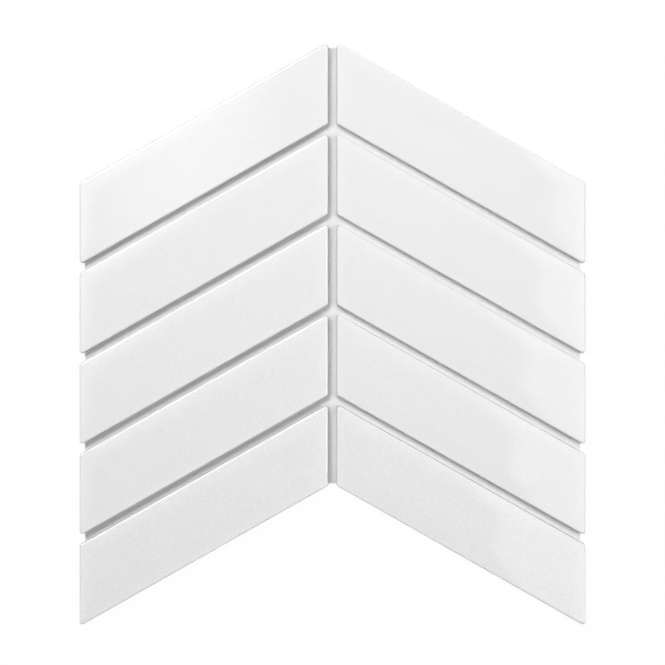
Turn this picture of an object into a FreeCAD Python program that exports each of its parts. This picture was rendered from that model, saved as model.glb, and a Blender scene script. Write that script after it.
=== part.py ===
"""Chevron wall-tile sheet: two columns of slanted porcelain chips on one trimmed backing sheet.

Millimetres and degrees. +Z points out of the glazed face and +Y runs up the wall along the centre
joint. The origin is the middle of the sheet's outline, on the back that beds into the adhesive.
"""

import FreeCAD
import Part

import math
import os

from FreeCAD import Vector

# Chip, measured at its back, where it is largest
CHIP_LENGTH = 127.0
CHIP_WIDTH = 31.75
CHIP_THICKNESS = 6.0
CHEVRON_ANGLE = 29.5
SIDE_DRAFT = 2.0

# Face: a rounded arris, then a cushion band that eases up into the flat middle
ARRIS_RADIUS = 0.8
CUSHION_WIDTH = 7.0
CUSHION_SLOPE = 2.5
CORNER_CORE_RADIUS = 0.4

# Back: shallow keys for the adhesive, with sloping walls, side by side along the chip
KEY_COUNT = 3
KEY_WIDTH = 4.5
KEY_DEPTH = 0.5
KEY_RIM = 7.0

# Lay: clear joints between chips, measured at their backs
ROWS = 5
BED_JOINT = 3.2
CENTRE_JOINT = 3.6

# Backing sheet, and how far it is trimmed back from the chips' outline
BACKING_THICKNESS = 0.5
SIDE_TRIM = 2.2
TOP_TRIM = 2.0
BOTTOM_TRIM = 0.8

COS = math.cos(math.radians(CHEVRON_ANGLE))
TAN = math.tan(math.radians(CHEVRON_ANGLE))
CHIP_RUN = CHIP_LENGTH * COS
ROW_PITCH = (CHIP_WIDTH + BED_JOINT) / COS


def chip_point(across, over, height):
    """A point of a right-hand chip: across is level, from its middle, and over is square to its slant."""
    return Vector(across, over / COS - across * TAN, height)


def slanted_corners(half_across, half_over, height, over=0):
    """The corners of a four-sided figure with the chip's slant, in order round it."""
    signs = [(-1, -1), (1, -1), (1, 1), (-1, 1)]
    return [chip_point(i * half_across, over + j * half_over, height) for i, j in signs]


def chip_section(inset, height, corner_radius):
    """The chip's outline at a height, moved in by inset on every side, with rounded corners."""
    corners = slanted_corners(CHIP_RUN / 2 - inset, CHIP_WIDTH / 2 - inset, height)
    bends = []
    for i, corner in enumerate(corners):
        before = (corners[i - 1] - corner).normalize()
        after = (corners[(i + 1) % len(corners)] - corner).normalize()
        half_turn = before.getAngle(after) / 2
        reach = corner_radius / math.tan(half_turn)
        cut_off = corner_radius / math.sin(half_turn) - corner_radius
        crest = corner + (before + after).normalize() * cut_off
        bends.append((corner + before * reach, crest, corner + after * reach))
    edges = []
    for i, (start, crest, end) in enumerate(bends):
        next_start = bends[(i + 1) % len(bends)][0]
        edges.append(Part.Arc(start, crest, end).toShape())
        edges.append(Part.LineSegment(end, next_start).toShape())
    return Part.Wire(edges)


def pressed_chip():
    """A right-hand chip as the die leaves it: its drafted wall, its arris and its cushioned face."""
    draft = math.radians(SIDE_DRAFT)
    slope = math.radians(CUSHION_SLOPE)
    cushion_drop = CUSHION_WIDTH * math.tan(slope) / 2
    arris_centre = CHIP_THICKNESS - cushion_drop - ARRIS_RADIUS * math.cos(slope)
    wall_top = arris_centre + ARRIS_RADIUS * math.sin(draft)
    wall_lean = wall_top * math.tan(draft)
    arris_inset = wall_lean + ARRIS_RADIUS * math.cos(draft)
    cushion_inset = arris_inset - ARRIS_RADIUS * math.sin(slope)
    wall_corner = CORNER_CORE_RADIUS + cushion_inset - wall_lean

    def arris_section(share):
        """The arris turns from the wall's draft to the cushion's slope."""
        turn = draft + share * (math.pi / 2 - slope - draft)
        inset = arris_inset - ARRIS_RADIUS * math.cos(turn)
        height = arris_centre + ARRIS_RADIUS * math.sin(turn)
        return chip_section(inset, height, CORNER_CORE_RADIUS + cushion_inset - inset)

    def cushion_section(share):
        """The cushion is a parabola, level where it meets the flat."""
        inset = cushion_inset + share * CUSHION_WIDTH
        return chip_section(inset, CHIP_THICKNESS - cushion_drop * (1 - share) ** 2, CORNER_CORE_RADIUS)

    back = chip_section(0, 0, wall_corner)
    arris = [arris_section(share) for share in (0, 0.25, 0.5, 0.75, 1)]
    cushion = [cushion_section(share) for share in (0, 0.5, 1)]
    bands = [
        Part.makeLoft([back, arris[0]], False, True),
        Part.makeLoft(arris, False, False),
        Part.makeLoft(cushion, False, False),
    ]
    faces = [face for band in bands for face in band.Faces]
    skin = Part.makeShell(faces + [Part.Face(back), Part.Face(cushion[-1])])
    skin.sewShape()
    return Part.makeSolid(skin)


def key_cutter(over):
    """The space of one key, run on below the back so that it cuts cleanly. Its walls slope at 45 degrees."""
    half_across = CHIP_RUN / 2 - KEY_RIM * COS
    half_over = KEY_WIDTH / 2
    sections = []
    for depth in (-KEY_DEPTH, KEY_DEPTH):
        corners = slanted_corners(half_across - depth, half_over - depth, depth, over)
        sections.append(Part.makePolygon(corners + corners[:1]))
    return Part.makeLoft(sections, True, True)


def right_chip():
    """One chip of the right column, about the middle of its back."""
    key_pitch = CHIP_WIDTH / (KEY_COUNT + 1)
    keys = [key_cutter((i + 1) * key_pitch - CHIP_WIDTH / 2) for i in range(KEY_COUNT)]
    return pressed_chip().cut(keys).Solids[0]


def backing_sheet():
    """The sheet under all the chips: their common outline, trimmed back, with a flat across the joint."""
    inner = CENTRE_JOINT / 2
    outer = inner + CHIP_RUN
    edge = outer - SIDE_TRIM
    half_stack = (ROWS - 1) / 2 * ROW_PITCH + CHIP_WIDTH / 2 / COS + CHIP_RUN / 2 * TAN
    top = half_stack - TOP_TRIM / COS
    bottom = -half_stack + CHIP_RUN * TAN + BOTTOM_TRIM / COS
    fall = (edge - inner) * TAN
    right_side = [(inner, top), (edge, top - fall), (edge, bottom - fall), (inner, bottom)]
    left_side = [(-x, y) for x, y in reversed(right_side)]
    points = [Vector(x, y, 0) for x, y in right_side + left_side]
    outline = Part.makePolygon(points + points[:1])
    return Part.Face(outline).extrude(Vector(0, 0, BACKING_THICKNESS))


def sheet_pieces():
    """Every piece of the sheet by name, in its place."""
    chip = right_chip()
    pieces = {"backing_sheet": backing_sheet()}
    for row in range(ROWS):
        rise = ((ROWS - 1) / 2 - row) * ROW_PITCH
        right = chip.translated(Vector(CENTRE_JOINT / 2 + CHIP_RUN / 2, rise, BACKING_THICKNESS))
        pieces[f"tile_right_{row + 1}"] = right
        pieces[f"tile_left_{row + 1}"] = right.mirror(Vector(0, 0, 0), Vector(1, 0, 0))
    return pieces


os.makedirs("parts", exist_ok=True)
for name, piece in sheet_pieces().items():
    piece.exportStep(f"parts/{name}.step")
    size = piece.optimalBoundingBox()
    print(f"{name}: {size.XLength:.2f} x {size.YLength:.2f} x {size.ZLength:.2f} mm, "
          f"{piece.Volume / 1000:.2f} cm3, valid {piece.isValid()}")
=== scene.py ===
import math

import bpy
from mathutils import Matrix, Vector


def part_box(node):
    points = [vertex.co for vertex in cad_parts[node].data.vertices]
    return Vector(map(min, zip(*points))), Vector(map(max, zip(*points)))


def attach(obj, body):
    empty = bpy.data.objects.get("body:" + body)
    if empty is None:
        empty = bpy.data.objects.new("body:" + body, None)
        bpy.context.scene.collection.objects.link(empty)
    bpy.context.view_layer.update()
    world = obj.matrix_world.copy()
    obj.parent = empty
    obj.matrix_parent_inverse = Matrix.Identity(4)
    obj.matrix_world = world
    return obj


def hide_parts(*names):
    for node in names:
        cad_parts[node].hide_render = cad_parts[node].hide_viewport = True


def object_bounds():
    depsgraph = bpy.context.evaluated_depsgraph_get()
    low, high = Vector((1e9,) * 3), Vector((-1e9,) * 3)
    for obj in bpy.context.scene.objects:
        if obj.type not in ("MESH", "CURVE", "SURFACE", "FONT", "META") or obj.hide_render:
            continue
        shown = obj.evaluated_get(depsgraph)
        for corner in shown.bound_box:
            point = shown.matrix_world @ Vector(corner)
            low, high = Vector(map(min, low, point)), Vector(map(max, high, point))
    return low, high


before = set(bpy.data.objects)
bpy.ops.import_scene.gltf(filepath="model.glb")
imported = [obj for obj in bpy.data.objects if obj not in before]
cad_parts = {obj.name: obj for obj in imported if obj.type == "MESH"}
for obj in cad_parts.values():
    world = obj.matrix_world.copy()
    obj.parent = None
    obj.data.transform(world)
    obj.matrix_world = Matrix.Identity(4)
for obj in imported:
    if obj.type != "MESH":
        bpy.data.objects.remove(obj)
cad_low, cad_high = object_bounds()

# Glazed chips
# Each chip is porcelain, dry-pressed in a drafted die that leaves keys in its back and a face that bows
# down along its edges. White glaze is sprayed on the face and fired glossy. It runs over the arris and part
# of the way down the walls, and below it the body stays bare. Five chips make each of two mirrored columns.


class Measure:
    """A number that a node tree works out at every point. Arithmetic on it adds Math nodes to the tree."""

    def __init__(self, tree, socket):
        self.tree = tree
        self.socket = socket

    def worked(self, operation, *terms):
        node = self.tree.nodes.new("ShaderNodeMath")
        node.operation = operation
        for socket, term in zip(node.inputs, terms):
            if isinstance(term, Measure):
                self.tree.links.new(term.socket, socket)
            else:
                socket.default_value = term
        return Measure(self.tree, node.outputs[0])

    def __add__(self, other):
        return self.worked("ADD", self, other)

    __radd__ = __add__

    def __sub__(self, other):
        return self.worked("SUBTRACT", self, other)

    def __rsub__(self, other):
        return self.worked("SUBTRACT", other, self)

    def __mul__(self, other):
        return self.worked("MULTIPLY", self, other)

    __rmul__ = __mul__

    def __truediv__(self, other):
        return self.worked("DIVIDE", self, other)

    def __pow__(self, power):
        return self.worked("POWER", self, power)

    def __abs__(self):
        return self.worked("ABSOLUTE", self)

    def __lt__(self, other):
        return self.worked("LESS_THAN", self, other)

    def at_least(self, other):
        return self.worked("MAXIMUM", self, other)

    def at_most(self, other):
        return self.worked("MINIMUM", self, other)

    def held(self, low, high):
        return self.at_least(low).at_most(high)

    def eased(self, start, end):
        """0 before start and 1 after end, with a smooth rise between."""
        share = ((self - start) / (end - start)).held(0, 1)
        return share * share * (3 - 2 * share)

    def sign(self):
        return self.worked("SIGN", self)

    def whole(self):
        return self.worked("ROUND", self)

    def sin(self):
        return self.worked("SINE", self)

    def cos(self):
        return self.worked("COSINE", self)

    def tan(self):
        return self.worked("TANGENT", self)


def add_node(tree, kind, feeds=None, **settings):
    """Adds a node with its settings, and feeds its sockets with values, sockets or measures."""
    node = tree.nodes.new(kind)
    for name, value in settings.items():
        setattr(node, name, value)
    for name, value in (feeds or {}).items():
        source = value.socket if isinstance(value, Measure) else value
        if isinstance(source, bpy.types.NodeSocket):
            tree.links.new(source, node.inputs[name])
        else:
            node.inputs[name].default_value = source
    return node


def joined(tree, x, y, z):
    """One vector socket from three measures."""
    return add_node(tree, "ShaderNodeCombineXYZ", {"X": x, "Y": y, "Z": z}).outputs["Vector"]


def parted(tree, vector):
    """The three measures of a vector socket."""
    parts = add_node(tree, "ShaderNodeSeparateXYZ", {"Vector": vector}).outputs
    return [Measure(tree, part) for part in parts]


def speckle(tree, vector, scale, detail):
    """Smooth noise from 0 to 1 at a vector socket."""
    noise = add_node(tree, "ShaderNodeTexNoise", {"Vector": vector, "Scale": scale, "Detail": detail})
    return Measure(tree, noise.outputs[0])


def start_shape(name, sizes):
    """A Geometry Nodes tree with a named input for each size and one for the material."""
    tree = bpy.data.node_groups.new(name, "GeometryNodeTree")
    for size in sizes:
        tree.interface.new_socket(size, in_out="INPUT", socket_type="NodeSocketFloat")
    tree.interface.new_socket("Material", in_out="INPUT", socket_type="NodeSocketMaterial")
    tree.interface.new_socket("Geometry", in_out="OUTPUT", socket_type="NodeSocketGeometry")
    entry = tree.nodes.new("NodeGroupInput")
    return tree, entry, {size: Measure(tree, entry.outputs[size]) for size in sizes}


def square_grid(tree, points_x, points_y):
    """A flat grid from -1 to 1 each way, and the two measures of a point's place on it."""
    grid = add_node(tree, "GeometryNodeMeshGrid", {
        "Size X": 2,
        "Size Y": 2,
        "Vertices X": points_x,
        "Vertices Y": points_y,
    })
    u, v, _ = parted(tree, add_node(tree, "GeometryNodeInputPosition").outputs["Position"])
    return grid.outputs["Mesh"], u, v


def closed_skin(tree, grid, face, back):
    """Two copies of a grid, moved to face and back and sewn along their rim. Hard edges stay crisp."""
    seam = 1e-6
    crease = math.radians(50)
    outer = add_node(tree, "GeometryNodeSetPosition", {"Geometry": grid, "Position": face})
    inner = add_node(tree, "GeometryNodeSetPosition", {"Geometry": grid, "Position": back})
    turned = add_node(tree, "GeometryNodeFlipFaces", {"Mesh": inner.outputs["Geometry"]})
    both = add_node(tree, "GeometryNodeJoinGeometry", {"Geometry": turned.outputs["Mesh"]})
    tree.links.new(outer.outputs["Geometry"], both.inputs["Geometry"])
    sewn = add_node(tree, "GeometryNodeMergeByDistance", {
        "Geometry": both.outputs["Geometry"],
        "Distance": seam,
    })
    smooth = add_node(tree, "GeometryNodeSetShadeSmooth", {
        "Geometry": sewn.outputs["Geometry"],
    }, domain="FACE")
    bend = Measure(tree, add_node(tree, "GeometryNodeInputMeshEdgeAngle").outputs["Unsigned Angle"])
    hard = add_node(tree, "GeometryNodeSetShadeSmooth", {
        "Geometry": smooth.outputs["Geometry"],
        "Selection": 1 - (bend < crease),
        "Shade Smooth": False,
    }, domain="EDGE")
    return hard.outputs["Geometry"]


def end_shape(tree, entry, geometry):
    """Closes a tree: instances are made real and the material is set."""
    real = add_node(tree, "GeometryNodeRealizeInstances", {"Geometry": geometry})
    finished = add_node(tree, "GeometryNodeSetMaterial", {
        "Geometry": real.outputs["Geometry"],
        "Material": entry.outputs["Material"],
    })
    add_node(tree, "NodeGroupOutput", {"Geometry": finished.outputs["Geometry"]})


def grown(name, tree, material, **sizes):
    """A piece with the plain mesh that a tree makes at these sizes."""
    piece = bpy.data.objects.new(name, bpy.data.meshes.new(name))
    bpy.context.scene.collection.objects.link(piece)
    maker = piece.modifiers.new("maker", "NODES")
    maker.node_group = tree
    values = {size.replace("_", " "): value for size, value in sizes.items()}
    values["material"] = material
    for socket in tree.interface.items_tree:
        if socket.in_out == "INPUT":
            maker[socket.identifier] = values[socket.name.lower()]
    shaped = piece.evaluated_get(bpy.context.evaluated_depsgraph_get())
    piece.data = bpy.data.meshes.new_from_object(shaped)
    piece.modifiers.remove(maker)
    return piece


def pressed_chip_tree():
    """A chip as rings of one grid, which climb the wall, turn over the arris and rise to the flat."""
    arris_rings = 5
    rings_along = 46
    rings_over = 24
    face_spread = 1.6
    shortest_reach = 1e-9
    wave_scale = 45
    keys_each_side = 1
    # A painted reflection: a whiter patch in one chip's glaze colour, centred here along the chip, reaching
    # this far, as strong as the Shade input
    reflection_patch_middle = -0.008
    reflection_patch_reach = 0.043
    tree, entry, size = start_shape("pressed chip", [
        "Run", "Width", "Slant", "Middle X", "Middle Y", "Back Z", "Wall height", "Side draft",
        "Arris radius", "Cushion slope", "Cushion start", "Cushion width", "Cushion drop", "Core radius",
        "Key width", "Key depth", "Key rim", "Glaze wave", "Peel", "Shade", "Seed",
    ])
    radius = size["Arris radius"]
    draft = size["Side draft"]
    drop = size["Cushion drop"]
    start = size["Cushion start"]
    lean = size["Wall height"] * draft.tan()
    grid, u, v = square_grid(tree, 2 * rings_along + 1, 2 * rings_over + 1)

    def arris_turn(ring):
        share = ((ring - 1) / arris_rings).held(0, 1)
        return draft + share * (math.pi / 2 - size["Cushion slope"] - draft)

    def inset_of(ring, half, last_ring):
        face_rings = last_ring - 1 - arris_rings
        face_share = ((ring - 1 - arris_rings) / face_rings).held(0, 1)
        over_arris = radius * (draft.cos() - arris_turn(ring).cos())
        return lean * ring.at_most(1) + over_arris + (half - start) * face_share**face_spread

    def cushion_fall(inset):
        return drop * (1 - ((inset - start) / size["Cushion width"]).held(0, 1)) ** 2

    # Rings from the nearest end and the nearest long side
    half_run = size["Run"] / 2
    half_width = size["Width"] / 2
    end_ring = (1 - abs(u)) * rings_along
    side_ring = (1 - abs(v)) * rings_over
    from_end = inset_of(end_ring, half_run, rings_along)
    from_side = inset_of(side_ring, half_width, rings_over)

    # Corners: the points of a ring that lie within reach of its corner go on an arc
    turn = math.pi / 2 + size["Slant"] * (u * v).sign()
    nearer = from_end.at_most(from_side)
    further = from_end.at_least(from_side) - nearer
    corner = start + size["Core radius"] - nearer.held(lean, start + size["Core radius"])
    reach = corner * (1 - turn.cos())
    share = (1 - further / reach.at_least(shortest_reach)).held(0, 1)
    arc = share * turn / 2
    near_part = nearer + corner * (1 - arc.cos())
    far_part = nearer + (further - reach).at_least(0) + corner * (1 - (turn - arc).cos())
    end_is_nearer = from_end < from_side
    round_end = end_is_nearer * near_part + (1 - end_is_nearer) * far_part
    round_side = end_is_nearer * far_part + (1 - end_is_nearer) * near_part
    across = u.sign() * (half_run - round_end)
    over = v.sign() * (half_width - round_side)
    x = across + size["Middle X"]
    y = over / size["Slant"].cos() + across * size["Slant"].tan() + size["Middle Y"]

    # The wall's corner quads are cut from the corner inwards, so that wall and back share only the rim
    at_corner = (end_ring < 1) * (side_ring < 1)
    falling = u * v < 0
    for method, chosen in (("FIXED", at_corner * (1 - falling)), ("FIXED_ALTERNATE", at_corner * falling)):
        grid = add_node(tree, "GeometryNodeTriangulate", {
            "Mesh": grid,
            "Selection": chosen,
        }, quad_method=method).outputs["Mesh"]

    # Face: wall, arris and cushion, with a slow wave in the fired glaze
    ring = end_ring.at_most(side_ring)
    end_fall = cushion_fall(from_end)
    side_fall = cushion_fall(from_side)
    fall = end_fall + side_fall - end_fall * side_fall / drop
    climb = size["Wall height"] * ring.at_most(1) + radius * (arris_turn(ring).sin() - draft.sin())
    wave = add_node(tree, "ShaderNodeTexNoise", {
        "Vector": joined(tree, x, y, 0),
        "W": size["Seed"],
        "Scale": wave_scale,
        "Detail": 1,
    }, noise_dimensions="4D")
    dip = size["Glaze wave"] * Measure(tree, wave.outputs[0]) * (1 - fall / drop)
    face = joined(tree, x, y, size["Back Z"] + climb + drop - fall - dip)

    # Back: shallow keys with sloping walls, one along the middle and the others beside it
    key_pitch = size["Width"] / (2 * keys_each_side + 2)
    from_key = abs(over - key_pitch * (over / key_pitch).held(-keys_each_side, keys_each_side).whole())
    into_side = (size["Key width"] / 2 - from_key).held(0, size["Key depth"])
    into_end = (half_run - size["Key rim"] - abs(across)).held(0, size["Key depth"])
    back = joined(tree, x, y, size["Back Z"] + into_side.at_most(into_end))

    # What the glaze needs: how near the rim a point is (for a painted rim highlight), how much its chip
    # peels, and a painted reflection patch
    painted_reflection = size["Shade"] * (1 - ((across - reflection_patch_middle) / reflection_patch_reach) ** 2).at_least(0)
    for name, value in (("rim", fall / drop), ("peel", size["Peel"]), ("shade", painted_reflection)):
        grid = add_node(tree, "GeometryNodeStoreNamedAttribute", {
            "Geometry": grid,
            "Name": name,
            "Value": value,
        }, data_type="FLOAT", domain="POINT").outputs["Geometry"]

    end_shape(tree, entry, closed_skin(tree, grid, face, back))
    return tree


def new_finish(name):
    """A new material, its node tree and the shader in it."""
    material = bpy.data.materials.new(name)
    material.use_nodes = True
    return material, material.node_tree, material.node_tree.nodes["Principled BSDF"]


def coat(tree, shader, colour, rough, relief, strength, depth):
    """Feeds a shader with a colour socket, a roughness and the relief of its surface."""
    bump = add_node(tree, "ShaderNodeBump", {"Height": relief, "Strength": strength, "Distance": depth})
    tree.links.new(colour, shader.inputs["Base Color"])
    tree.links.new(rough.socket, shader.inputs["Roughness"])
    tree.links.new(bump.outputs["Normal"], shader.inputs["Normal"])


def stored(tree, name):
    """A measure that the mesh carries with it."""
    return Measure(tree, add_node(tree, "ShaderNodeAttribute", attribute_name=name).outputs["Fac"])


def white_glaze():
    """Glossy opaque white, a little mottled and dimpled, that stops in a ragged line above the bare body."""
    glaze_line = 0.0026
    glaze_fade = 0.0002
    ragged = 0.0012
    glaze_colour = (0.84, 0.84, 0.8395, 1)
    # The bare body below the glaze, a dark grey: partly the body's own colour, partly painted shade on the
    # joint walls
    body_and_shade_colour = (0.374, 0.362, 0.35, 1)
    # A painted highlight: the glaze colour is made lighter towards each chip's rim
    painted_rim_highlight = 0.02
    mottle_tone = 0.02
    grain_tone = 0.19
    body_rough = 0.8
    glaze_rough = 0.025
    mottle_rough = 0.02
    grain_relief = 0.25
    material, tree, shader = new_finish("white_glaze")
    shader.inputs["IOR"].default_value = 1.5
    place = add_node(tree, "ShaderNodeTexCoord").outputs["Object"]
    height = parted(tree, place)[2]
    run_down = speckle(tree, place, scale=260, detail=3)
    mottle = speckle(tree, place, scale=90, detail=4)
    grain = speckle(tree, place, scale=1300, detail=2)
    dimple = speckle(tree, place, scale=800, detail=2)
    rim = stored(tree, "rim")
    peel = stored(tree, "peel")
    # shade carries a painted reflection: a patch painted whiter into one chip's glaze colour
    shade = stored(tree, "shade")
    glazed = (height + ragged * (run_down - 0.5)).eased(glaze_line, glaze_line + glaze_fade)
    mixed = add_node(tree, "ShaderNodeMix", {
        "Factor": glazed,
        "A": body_and_shade_colour,
        "B": glaze_colour,
    }, data_type="RGBA")
    tone = 1 + shade + painted_rim_highlight * rim + mottle_tone * (mottle - 0.5) + grain_tone * peel * (grain - 0.5)
    toned = add_node(tree, "ShaderNodeVectorMath", {
        0: mixed.outputs["Result"],
        "Scale": tone,
    }, operation="SCALE")
    coat(
        tree, shader, toned.outputs["Vector"],
        rough=body_rough - glazed * (body_rough - glaze_rough - mottle_rough * mottle),
        relief=glazed * peel * dimple + grain_relief * grain, strength=0.02, depth=0.0001,
    )
    return material


CHEVRON_ANGLE = math.radians(29.5)
CHIP_WIDTH = 0.03175
SIDE_DRAFT = math.radians(2)
ARRIS_RADIUS = 0.0008
CUSHION_WIDTH = 0.007
CUSHION_SLOPE = math.radians(2.5)
CORNER_CORE_RADIUS = 0.000409
KEY_WIDTH = 0.0045
KEY_DEPTH = 0.0005
KEY_RIM = 0.0061
GLAZE_WAVE = 0.000006
WAVE_SEED_STEP = 7.3
# The chip whose glaze colour carries a painted reflection, a whiter patch along its middle
PAINTED_REFLECTION_CHIP = "tile_left_1"
PAINTED_REFLECTION_LIFT = 0.068
ROWS = 5
chip_low, chip_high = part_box("tile_right_1")
chip_thickness = chip_high.z - chip_low.z
cushion_drop = CUSHION_WIDTH * math.tan(CUSHION_SLOPE) / 2
arris_centre = chip_thickness - cushion_drop - ARRIS_RADIUS * math.cos(CUSHION_SLOPE)
wall_height = arris_centre + ARRIS_RADIUS * math.sin(SIDE_DRAFT)
wall_lean = wall_height * math.tan(SIDE_DRAFT)
cushion_start = wall_lean + ARRIS_RADIUS * (math.cos(SIDE_DRAFT) - math.sin(CUSHION_SLOPE))
chip_tree = pressed_chip_tree()
glaze = white_glaze()
chips = []
for column, slant, least_peel in (("left", CHEVRON_ANGLE, 0.45), ("right", -CHEVRON_ANGLE, 0.05)):
    for row in range(1, ROWS + 1):
        node = f"tile_{column}_{row}"
        low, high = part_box(node)
        middle = (low + high) / 2
        chip = grown(
            f"glazed_chip_{column}_{row}", chip_tree, glaze,
            run=high.x - low.x, width=CHIP_WIDTH, slant=slant,
            middle_x=middle.x, middle_y=middle.y, back_z=low.z,
            wall_height=wall_height, side_draft=SIDE_DRAFT, arris_radius=ARRIS_RADIUS,
            cushion_slope=CUSHION_SLOPE, cushion_start=cushion_start, cushion_width=CUSHION_WIDTH,
            cushion_drop=cushion_drop, core_radius=CORNER_CORE_RADIUS,
            key_width=KEY_WIDTH, key_depth=KEY_DEPTH, key_rim=KEY_RIM,
            glaze_wave=GLAZE_WAVE, seed=len(chips) * WAVE_SEED_STEP,
            peel=least_peel + (1 - least_peel) * (row - 1) / (ROWS - 1),
            shade=PAINTED_REFLECTION_LIFT if node == PAINTED_REFLECTION_CHIP else 0,
        )
        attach(chip, "root")
        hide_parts(node)
        chips.append(chip)

# Adhesive film
# The chips are held at their spacing by one film of white adhesive, rolled over their backs and left to dry.
# It is trimmed back from the chips' outline and shows as the pale floor of the joints.


def adhesive_film_tree():
    """A thin closed sheet with the chevron's outline: a grid whose first ring is the cut edge."""
    rings_across = 62
    rings_along = 70
    lump_scale = 320
    tree, entry, size = start_shape("adhesive film", [
        "Half width", "Half joint", "Length", "Middle Y", "Slant", "Low Z", "Thickness", "Lumps",
    ])
    grid, u, v = square_grid(tree, 2 * rings_across + 1, 2 * rings_along + 1)
    side_ring = (1 - abs(u)) * rings_across
    end_ring = (1 - abs(v)) * rings_along
    beyond_joint = 1 - ((side_ring - 1) / (rings_across - 2)).held(0, 1)
    in_joint = (rings_across - side_ring).held(0, 1)
    out = size["Half joint"] * in_joint + (size["Half width"] - size["Half joint"]) * beyond_joint
    up = v.sign() * (1 - ((end_ring - 1) / (rings_along - 1)).held(0, 1)) * size["Length"] / 2
    x = u.sign() * out
    y = size["Middle Y"] + up - (out - size["Half joint"]).at_least(0) * size["Slant"].tan()
    lumps = speckle(tree, joined(tree, x, y, 0), scale=lump_scale, detail=2)
    ring = side_ring.at_most(end_ring).at_most(1)
    top = size["Low Z"] + ring * (size["Thickness"] - size["Lumps"] * lumps)
    face = joined(tree, x, y, top)
    back = joined(tree, x, y, size["Low Z"])
    end_shape(tree, entry, closed_skin(tree, grid, face, back))
    return tree


def dried_adhesive():
    """Matt white, rippled by the roller, with the scrim under it showing faintly as a grid."""
    white = 0.83
    green_share = 0.997
    blue_share = 0.995
    ripple_tone = 0.03
    thread_tone = 0.012
    least_rough = 0.5
    ripple_rough = 0.2
    thread_relief = 0.4
    material, tree, shader = new_finish("dried_adhesive")
    shader.inputs["Specular IOR Level"].default_value = 0.2
    place = add_node(tree, "ShaderNodeTexCoord").outputs["Object"]
    x, y, _ = parted(tree, place)
    turns = 2 * math.pi / SCRIM_PITCH
    thread = ((x * turns).cos() + (y * turns).cos()) / 2
    ripple = speckle(tree, place, scale=700, detail=3)
    tone = white + ripple_tone * (ripple - 0.5) + thread_tone * thread
    colour = add_node(tree, "ShaderNodeCombineColor", {
        "Red": tone,
        "Green": tone * green_share,
        "Blue": tone * blue_share,
    })
    coat(
        tree, shader, colour.outputs["Color"], rough=least_rough + ripple_rough * ripple,
        relief=ripple + thread_relief * thread, strength=0.3, depth=0.0001,
    )
    return material


SCRIM_PITCH = 0.004
SCRIM_STANDS_OUT = 0.0002
FILM_LUMPS = 0.00008
backing_low, backing_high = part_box("backing_sheet")
half_joint = chip_low.x
side_fall = (backing_high.x - half_joint) * math.tan(CHEVRON_ANGLE)
film_length = backing_high.y - backing_low.y - side_fall
film = grown(
    "adhesive_film", adhesive_film_tree(), dried_adhesive(),
    half_width=backing_high.x, half_joint=half_joint, length=film_length,
    middle_y=backing_high.y - film_length / 2, slant=CHEVRON_ANGLE,
    low_z=SCRIM_STANDS_OUT, thickness=backing_high.z - SCRIM_STANDS_OUT, lumps=FILM_LUMPS,
)
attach(film, "root")
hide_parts("backing_sheet")

# Glass-fibre scrim
# An open plain weave of flat white glass yarns, cut to the film's outline and bedded half in it while the
# adhesive is wet, so that it stands out of the back and keeps the sheet from tearing.


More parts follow.
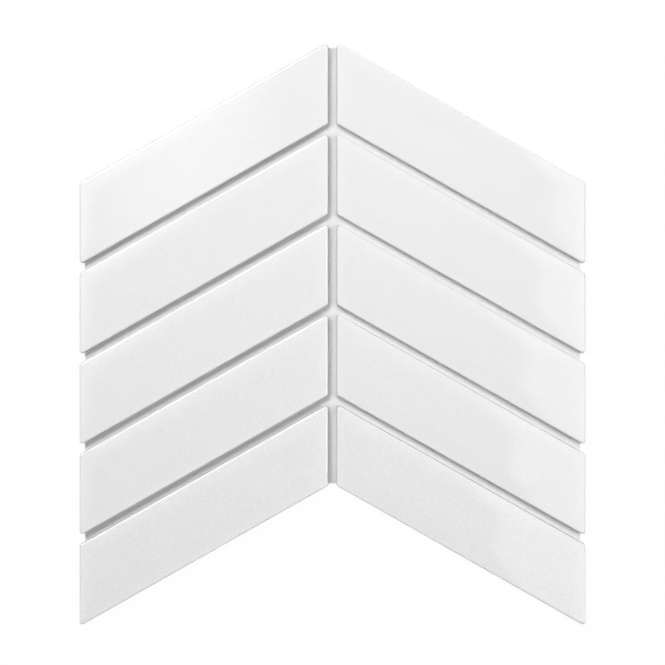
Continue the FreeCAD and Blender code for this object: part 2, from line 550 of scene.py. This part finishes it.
def scrim_tree(name, lengthways):
    """All the yarns of one direction: straight in plan, over and under the yarns that cross them."""
    profile_sides = 6
    hair = 1e-5
    tree, entry, size = start_shape(name, [
        "Half width", "Half joint", "Length", "Top Y", "Slant", "Middle Z", "Pitch", "First yarn", "Yarns",
        "Points", "Weave", "Yarn width", "Yarn height",
    ])
    pitch = size["Pitch"]
    slope = size["Slant"].tan()
    counts = (size["Yarns"], size["Points"]) if lengthways else (size["Points"], size["Yarns"])
    grid, u, v = square_grid(tree, *counts)

    # Only the grid's edges along the yarns are kept
    edge = add_node(tree, "GeometryNodeInputMeshEdgeVertices").outputs
    start_point = parted(tree, edge["Position 1"])
    end_point = parted(tree, edge["Position 2"])
    side = 0 if lengthways else 1
    crossing = 1 - (abs(start_point[side] - end_point[side]) < hair)
    lines = add_node(tree, "GeometryNodeDeleteGeometry", {
        "Geometry": grid,
        "Selection": crossing,
    }, domain="EDGE", mode="EDGE_FACE").outputs["Geometry"]

    # Lengthways yarns end on the outline. Crossways ones are also cut where the notch takes them
    number = (u if lengthways else v) * 0.5 + 0.5
    place = (size["First yarn"] + number * (size["Yarns"] - 1)) * pitch
    if lengthways:
        x = place
        down = (0.5 - 0.5 * v) * size["Length"]
        y = size["Top Y"] - down - (abs(x) - size["Half joint"]).at_least(0) * slope
        weave = size["Weave"]
    else:
        y = place
        x = u * (size["Half joint"] + (size["Top Y"] - y) / slope).at_most(size["Half width"])
        weave = 0 - size["Weave"]
    z = size["Middle Z"] + weave * (x * math.pi / pitch).cos() * (y * math.pi / pitch).cos()
    laid = add_node(tree, "GeometryNodeSetPosition", {"Geometry": lines, "Position": joined(tree, x, y, z)})
    at_x, at_y, _ = parted(tree, add_node(tree, "GeometryNodeInputPosition").outputs["Position"])
    notch = size["Top Y"] - size["Length"] - (abs(at_x) - size["Half joint"]).at_least(0) * slope
    cut = add_node(tree, "GeometryNodeDeleteGeometry", {
        "Geometry": laid.outputs["Geometry"],
        "Selection": at_y < notch - hair,
    }, domain="POINT", mode="ALL")

    # Each line becomes a flat oval yarn with closed ends
    line = add_node(tree, "GeometryNodeMeshToCurve", {"Mesh": cut.outputs["Geometry"]})
    upright = add_node(tree, "GeometryNodeSetCurveNormal", {"Curve": line.outputs["Curve"]}, mode="Z_UP")
    circle = add_node(tree, "GeometryNodeCurvePrimitiveCircle", {"Resolution": profile_sides, "Radius": 0.5})
    oval = add_node(tree, "GeometryNodeTransform", {
        "Geometry": circle.outputs["Curve"],
        "Scale": joined(tree, size["Yarn width"], size["Yarn height"], 1),
    })
    yarns = add_node(tree, "GeometryNodeCurveToMesh", {
        "Curve": upright.outputs["Curve"],
        "Profile Curve": oval.outputs["Geometry"],
        "Fill Caps": True,
    })
    end_shape(tree, entry, yarns.outputs["Mesh"])
    return tree


def glass_yarn(name, lengthways):
    """Satin white fibre with fine filaments that run along the yarn."""
    filament = 0.00012
    white = 0.80
    blue_share = 0.99
    frizz_tone = 0.05
    strand_tone = 0.03
    least_rough = 0.42
    frizz_rough = 0.2
    material, tree, shader = new_finish(name)
    place = add_node(tree, "ShaderNodeTexCoord").outputs["Object"]
    x, y, _ = parted(tree, place)
    strand = ((x if lengthways else y) * (2 * math.pi / filament)).sin()
    frizz = speckle(tree, place, scale=2500, detail=2)
    tone = white + frizz_tone * (frizz - 0.5) + strand_tone * strand
    colour = add_node(tree, "ShaderNodeCombineColor", {
        "Red": tone,
        "Green": tone,
        "Blue": tone * blue_share,
    })
    coat(
        tree, shader, colour.outputs["Color"], rough=least_rough + frizz_rough * frizz,
        relief=strand + frizz, strength=0.4, depth=0.00003,
    )
    return material


YARN_WIDTH = 0.0009
YARN_HEIGHT = 0.00014
SCRIM_MIDDLE_Z = 0.00015
WEAVE_RISE = 0.00007
POINTS_PER_PITCH = 4
for direction in ("lengthways", "crossways"):
    lengthways = direction == "lengthways"
    if lengthways:
        first = -math.floor((backing_high.x - YARN_WIDTH) / SCRIM_PITCH)
        last = -first
        span = film_length
    else:
        first = math.ceil((backing_low.y + YARN_WIDTH) / SCRIM_PITCH)
        last = math.floor((backing_high.y - YARN_WIDTH) / SCRIM_PITCH)
        span = 2 * backing_high.x
    scrim = grown(
        f"scrim_{direction}", scrim_tree(f"{direction} yarns", lengthways),
        glass_yarn(f"glass_yarn_{direction}", lengthways),
        half_width=backing_high.x, half_joint=half_joint, length=film_length, top_y=backing_high.y,
        slant=CHEVRON_ANGLE, middle_z=SCRIM_MIDDLE_Z, pitch=SCRIM_PITCH, first_yarn=first,
        yarns=last - first + 1, points=round(span / SCRIM_PITCH * POINTS_PER_PITCH) + 1,
        weave=WEAVE_RISE, yarn_width=YARN_WIDTH, yarn_height=YARN_HEIGHT,
    )
    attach(scrim, "root")
    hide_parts("backing_sheet")

# Floor, light and camera
# The sheet lies on a white table. A strip lamp at its upper left lights the faces, a second strip beside it
# only glints on the glaze, a lamp at the right fills the shadows, and the glaze mirrors a panel overhead at
# the right. The camera looks straight down.


def white_table():
    """White to the camera and to reflections, with a small share of the shadows on it. To all other light it
    is mid grey, so that little of it bounces up to the sheet's edges."""
    shown_share = 0.93
    shown_light = 1.04
    real_colour = (0.45, 0.45, 0.45, 1)
    material = bpy.data.materials.new("white_table")
    material.use_nodes = True
    tree = material.node_tree
    tree.nodes.clear()
    path = add_node(tree, "ShaderNodeLightPath").outputs
    seen = Measure(tree, path["Is Camera Ray"]).at_least(Measure(tree, path["Is Glossy Ray"]))
    seen = seen.at_least(Measure(tree, path["Is Transmission Ray"]))
    real = add_node(tree, "ShaderNodeBsdfDiffuse", {"Color": real_colour})
    flat = add_node(tree, "ShaderNodeEmission", {"Color": (1, 1, 1, 1), "Strength": shown_light})
    mixed = add_node(tree, "ShaderNodeMixShader", {
        "Fac": shown_share * seen,
        1: real.outputs[0],
        2: flat.outputs[0],
    })
    add_node(tree, "ShaderNodeOutputMaterial", {"Surface": mixed.outputs[0]})
    return material


TABLE_HALF = 3
table_mesh = bpy.data.meshes.new("table")
table_corners = [(i * TABLE_HALF, j * TABLE_HALF, 0) for i, j in ((-1, -1), (1, -1), (1, 1), (-1, 1))]
table_mesh.from_pydata(table_corners, [], [(0, 1, 2, 3)])
table_mesh.materials.append(white_table())
table = bpy.data.objects.new("table", table_mesh)
bpy.context.scene.collection.objects.link(table)


def white_room():
    """White to the camera. The room's own light comes from pale walls at the sides, a dimmer one at the back
    and a dim ceiling. The glaze mirrors white with brighter sides and a dark stand beside the camera."""
    front_wall_light = 0.0
    back_wall_light = 0.45
    side_wall_light = 0.75
    ceiling_light = 0.06
    front_to_back = (-0.5, 0.5)
    ends_to_sides = (0.4, 0.9)
    walls_to_ceiling = (0.35, 0.75)
    left_light = 1.8
    right_light = 0.9
    left_rise = (0.07, 0.15)
    right_rise = (0.08, 0.2)
    sides_fade = (0.4, 0.8)
    stand_light = 0.05
    stand_x = -0.085
    stand_y = -0.085
    stand_fade = (0.02, 0.2)
    lowest = 0.01
    world = bpy.data.worlds.new("white_room")
    world.use_nodes = True
    tree = world.node_tree
    tree.nodes.clear()
    path = add_node(tree, "ShaderNodeLightPath").outputs
    mirrored = Measure(tree, path["Is Glossy Ray"])
    seen = Measure(tree, path["Is Camera Ray"]).at_least(Measure(tree, path["Is Transmission Ray"]))
    x, y, z = parted(tree, add_node(tree, "ShaderNodeTexCoord").outputs["Generated"])

    # Walls and ceiling, by the direction they are in
    ends = front_wall_light + (back_wall_light - front_wall_light) * y.eased(*front_to_back)
    walls = ends + (side_wall_light - ends) * abs(x).eased(*ends_to_sides)
    light = walls + (ceiling_light - walls) * z.eased(*walls_to_ceiling)

    # What the glaze mirrors, by the place on a level one metre above the sheet
    across = x / z.at_least(lowest)
    up = y / z.at_least(lowest)
    from_middle = (across**2 + up**2) ** 0.5
    from_stand = ((across - stand_x) ** 2 + (up - stand_y) ** 2) ** 0.5
    sides = left_light * (0 - across).eased(*left_rise) + right_light * across.eased(*right_rise)
    bright = 1 + sides * (1 - from_middle.eased(*sides_fade))
    stand = stand_light + (1 - stand_light) * from_stand.eased(*stand_fade)

    strength = (light + mirrored * (bright * stand - light)) * (1 - seen) + seen
    sky = add_node(tree, "ShaderNodeBackground", {"Color": (1, 1, 1, 1), "Strength": strength})
    add_node(tree, "ShaderNodeOutputWorld", {"Surface": sky.outputs[0]})
    return world


def panel_lamp(name, place, aim, width, height, radiance, spin=0):
    """A flat lamp that faces a point, unseen by the camera. Its radiance is its brightness face on."""
    lamp = bpy.data.lights.new(name, "AREA")
    lamp.shape = "RECTANGLE"
    lamp.size = width
    lamp.size_y = height
    lamp.energy = radiance * math.pi * width * height
    holder = bpy.data.objects.new(name, lamp)
    bpy.context.scene.collection.objects.link(holder)
    holder.location = place
    facing = (Vector(aim) - Vector(place)).to_track_quat("-Z", "Y").to_matrix()
    holder.rotation_euler = (facing @ Matrix.Rotation(spin, 3, "Z")).to_euler()
    holder.visible_camera = False
    return holder


SHEET_MIDDLE = (0, 0, 0)
bpy.context.scene.world = white_room()
key_lamp = panel_lamp(
    "key_lamp", place=(-0.219, 0.351, 0.911), aim=SHEET_MIDDLE,
    width=0.567, height=0.217, radiance=16.2,
)
key_lamp.visible_glossy = False
glint_lamp = panel_lamp(
    "glint_lamp", place=(-0.30, 0.48, 1.06), aim=SHEET_MIDDLE,
    width=0.5, height=0.2, radiance=36.0,
)
glint_lamp.visible_diffuse = False
panel_lamp(
    "right_lamp", place=(1.084, -0.23, 1.418), aim=SHEET_MIDDLE,
    width=0.675, height=0.675, radiance=4.9,
)
panel_lamp(
    "right_panel", place=(0.335, -0.02, 1.0), aim=(0.335, -0.02, 0),
    width=0.36, height=0.8, radiance=1.35, spin=math.radians(-9.7),
)

CAMERA_HEIGHT = 1.3
PICTURE_WIDTH = 0.2948
PICTURE_MIDDLE_Y = 0.0008
camera = bpy.data.cameras.new("camera")
camera.sensor_width = 36
camera.lens = camera.sensor_width * (CAMERA_HEIGHT - cad_high.z) / PICTURE_WIDTH
camera_holder = bpy.data.objects.new("camera", camera)
bpy.context.scene.collection.objects.link(camera_holder)
camera_holder.location = (0, PICTURE_MIDDLE_Y, CAMERA_HEIGHT)
bpy.context.scene.camera = camera_holder
bpy.context.scene.view_settings.view_transform = "Standard"
